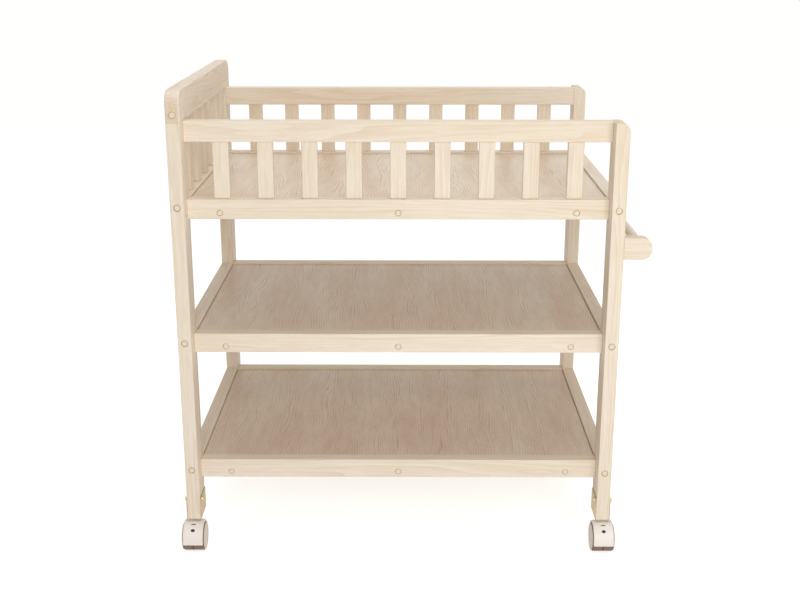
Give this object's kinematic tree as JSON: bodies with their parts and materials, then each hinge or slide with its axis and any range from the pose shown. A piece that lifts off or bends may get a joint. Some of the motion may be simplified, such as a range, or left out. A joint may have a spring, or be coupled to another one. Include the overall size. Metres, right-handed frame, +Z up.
{
  "type": "changing dresser",
  "caption": "Open wooden changing table with slatted guards, a header board, storage shelves, a towel rail and braked swivel casters.",
  "frame": {"origin": "middle of the overall footprint, at floor level", "axes": "+X to the right end with the towel rail, +Y to the rear, +Z up; the front faces -Y"},
  "size_m": [0.9664, 0.6956, 0.978],
  "materials": {
    "pine": "clear matt lacquer on solid pine",
    "shelf_board": "matt wood-grain board",
    "beech": "raw beech",
    "cap_plastic": "ivory cover caps",
    "zinc_steel": "yellowish zinc plating",
    "brass": "brass-plated",
    "hood_plastic": "cream moulded nylon",
    "wheel_plastic": "beige moulded nylon",
    "tread_rubber": "brown soft tread"
  },
  "bodies": {
    "frame": {"barrel_nuts": "zinc_steel", "caster_bolts": "brass", "caster_brackets": "zinc_steel", "cover_caps": "cap_plastic", "dowels": "beech", "end_slats": "pine", "frame_bolts": "zinc_steel", "front_guard_rail": "pine", "front_guard_slats": "pine", "front_rail_lower": "pine", "front_rail_middle": "pine", "front_rail_upper": "pine", "header_board": "pine", "kingpins": "zinc_steel", "post_front_left": "pine", "post_front_right": "pine", "post_rear_left": "pine", "post_rear_right": "pine", "rear_guard_rail": "pine", "rear_guard_slats": "pine", "rear_rail_lower": "pine", "rear_rail_middle": "pine", "rear_rail_upper": "pine", "shelf_battens": "pine", "shelf_panel_lower": "shelf_board", "shelf_panel_middle": "shelf_board", "shelf_panel_upper": "shelf_board", "shelf_screws": "zinc_steel", "side_rails_left": "pine", "side_rails_right": "pine", "towel_arms": "pine", "towel_bar": "pine"},
    "front_left_caster": {"front_left_hood": "hood_plastic", "front_left_caster_pins": "zinc_steel"},
    "front_left_pedal": {"front_left_brake_pedal": "hood_plastic"},
    "front_left_wheel_left": {"front_left_wheel_left": "wheel_plastic", "front_left_tread_left": "tread_rubber"},
    "front_left_wheel_right": {"front_left_wheel_right": "wheel_plastic", "front_left_tread_right": "tread_rubber"},
    "front_right_caster": {"front_right_hood": "hood_plastic", "front_right_caster_pins": "zinc_steel"},
    "front_right_pedal": {"front_right_brake_pedal": "hood_plastic"},
    "front_right_wheel_left": {"front_right_wheel_left": "wheel_plastic", "front_right_tread_left": "tread_rubber"},
    "front_right_wheel_right": {"front_right_wheel_right": "wheel_plastic", "front_right_tread_right": "tread_rubber"},
    "rear_left_caster": {"rear_left_hood": "hood_plastic", "rear_left_caster_pins": "zinc_steel"},
    "rear_left_pedal": {"rear_left_brake_pedal": "hood_plastic"},
    "rear_left_wheel_left": {"rear_left_wheel_left": "wheel_plastic", "rear_left_tread_left": "tread_rubber"},
    "rear_left_wheel_right": {"rear_left_wheel_right": "wheel_plastic", "rear_left_tread_right": "tread_rubber"},
    "rear_right_caster": {"rear_right_hood": "hood_plastic", "rear_right_caster_pins": "zinc_steel"},
    "rear_right_pedal": {"rear_right_brake_pedal": "hood_plastic"},
    "rear_right_wheel_left": {"rear_right_wheel_left": "wheel_plastic", "rear_right_tread_left": "tread_rubber"},
    "rear_right_wheel_right": {"rear_right_wheel_right": "wheel_plastic", "rear_right_tread_right": "tread_rubber"}
  },
  "joints": [
    {"name": "front_left_swivel", "type": "hinge", "parent": "frame", "child": "front_left_caster", "pos_m": [-0.45875, -0.28267, 0.065], "axis": [0, 0, 1], "continuous": true},
    {"name": "front_left_pedal_hinge", "type": "hinge", "parent": "front_left_caster", "child": "front_left_pedal", "pos_m": [-0.45875, -0.30987, 0.06243], "axis": [-1, 0, 0], "range_deg": [0, 18]},
    {"name": "front_left_wheel_left_spin", "type": "hinge", "parent": "front_left_caster", "child": "front_left_wheel_left", "pos_m": [-0.45875, -0.31267, 0.03], "axis": [1, 0, 0], "continuous": true},
    {"name": "front_left_wheel_right_spin", "type": "hinge", "parent": "front_left_caster", "child": "front_left_wheel_right", "pos_m": [-0.45875, -0.31267, 0.03], "axis": [1, 0, 0], "continuous": true},
    {"name": "front_right_swivel", "type": "hinge", "parent": "frame", "child": "front_right_caster", "pos_m": [0.41325, -0.28267, 0.065], "axis": [0, 0, 1], "continuous": true},
    {"name": "front_right_pedal_hinge", "type": "hinge", "parent": "front_right_caster", "child": "front_right_pedal", "pos_m": [0.41325, -0.30987, 0.06243], "axis": [-1, 0, 0], "range_deg": [0, 18]},
    {"name": "front_right_wheel_left_spin", "type": "hinge", "parent": "front_right_caster", "child": "front_right_wheel_left", "pos_m": [0.41325, -0.31267, 0.03], "axis": [1, 0, 0], "continuous": true},
    {"name": "front_right_wheel_right_spin", "type": "hinge", "parent": "front_right_caster", "child": "front_right_wheel_right", "pos_m": [0.41325, -0.31267, 0.03], "axis": [1, 0, 0], "continuous": true},
    {"name": "rear_left_swivel", "type": "hinge", "parent": "frame", "child": "rear_left_caster", "pos_m": [-0.45875, 0.31733, 0.065], "axis": [0, 0, 1], "continuous": true},
    {"name": "rear_left_pedal_hinge", "type": "hinge", "parent": "rear_left_caster", "child": "rear_left_pedal", "pos_m": [-0.45875, 0.29013, 0.06243], "axis": [-1, 0, 0], "range_deg": [0, 18]},
    {"name": "rear_left_wheel_left_spin", "type": "hinge", "parent": "rear_left_caster", "child": "rear_left_wheel_left", "pos_m": [-0.45875, 0.28733, 0.03], "axis": [1, 0, 0], "continuous": true},
    {"name": "rear_left_wheel_right_spin", "type": "hinge", "parent": "rear_left_caster", "child": "rear_left_wheel_right", "pos_m": [-0.45875, 0.28733, 0.03], "axis": [1, 0, 0], "continuous": true},
    {"name": "rear_right_swivel", "type": "hinge", "parent": "frame", "child": "rear_right_caster", "pos_m": [0.41325, 0.31733, 0.065], "axis": [0, 0, 1], "continuous": true},
    {"name": "rear_right_pedal_hinge", "type": "hinge", "parent": "rear_right_caster", "child": "rear_right_pedal", "pos_m": [0.41325, 0.29013, 0.06243], "axis": [-1, 0, 0], "range_deg": [0, 18]},
    {"name": "rear_right_wheel_left_spin", "type": "hinge", "parent": "rear_right_caster", "child": "rear_right_wheel_left", "pos_m": [0.41325, 0.28733, 0.03], "axis": [1, 0, 0], "continuous": true},
    {"name": "rear_right_wheel_right_spin", "type": "hinge", "parent": "rear_right_caster", "child": "rear_right_wheel_right", "pos_m": [0.41325, 0.28733, 0.03], "axis": [1, 0, 0], "continuous": true}
  ]
}
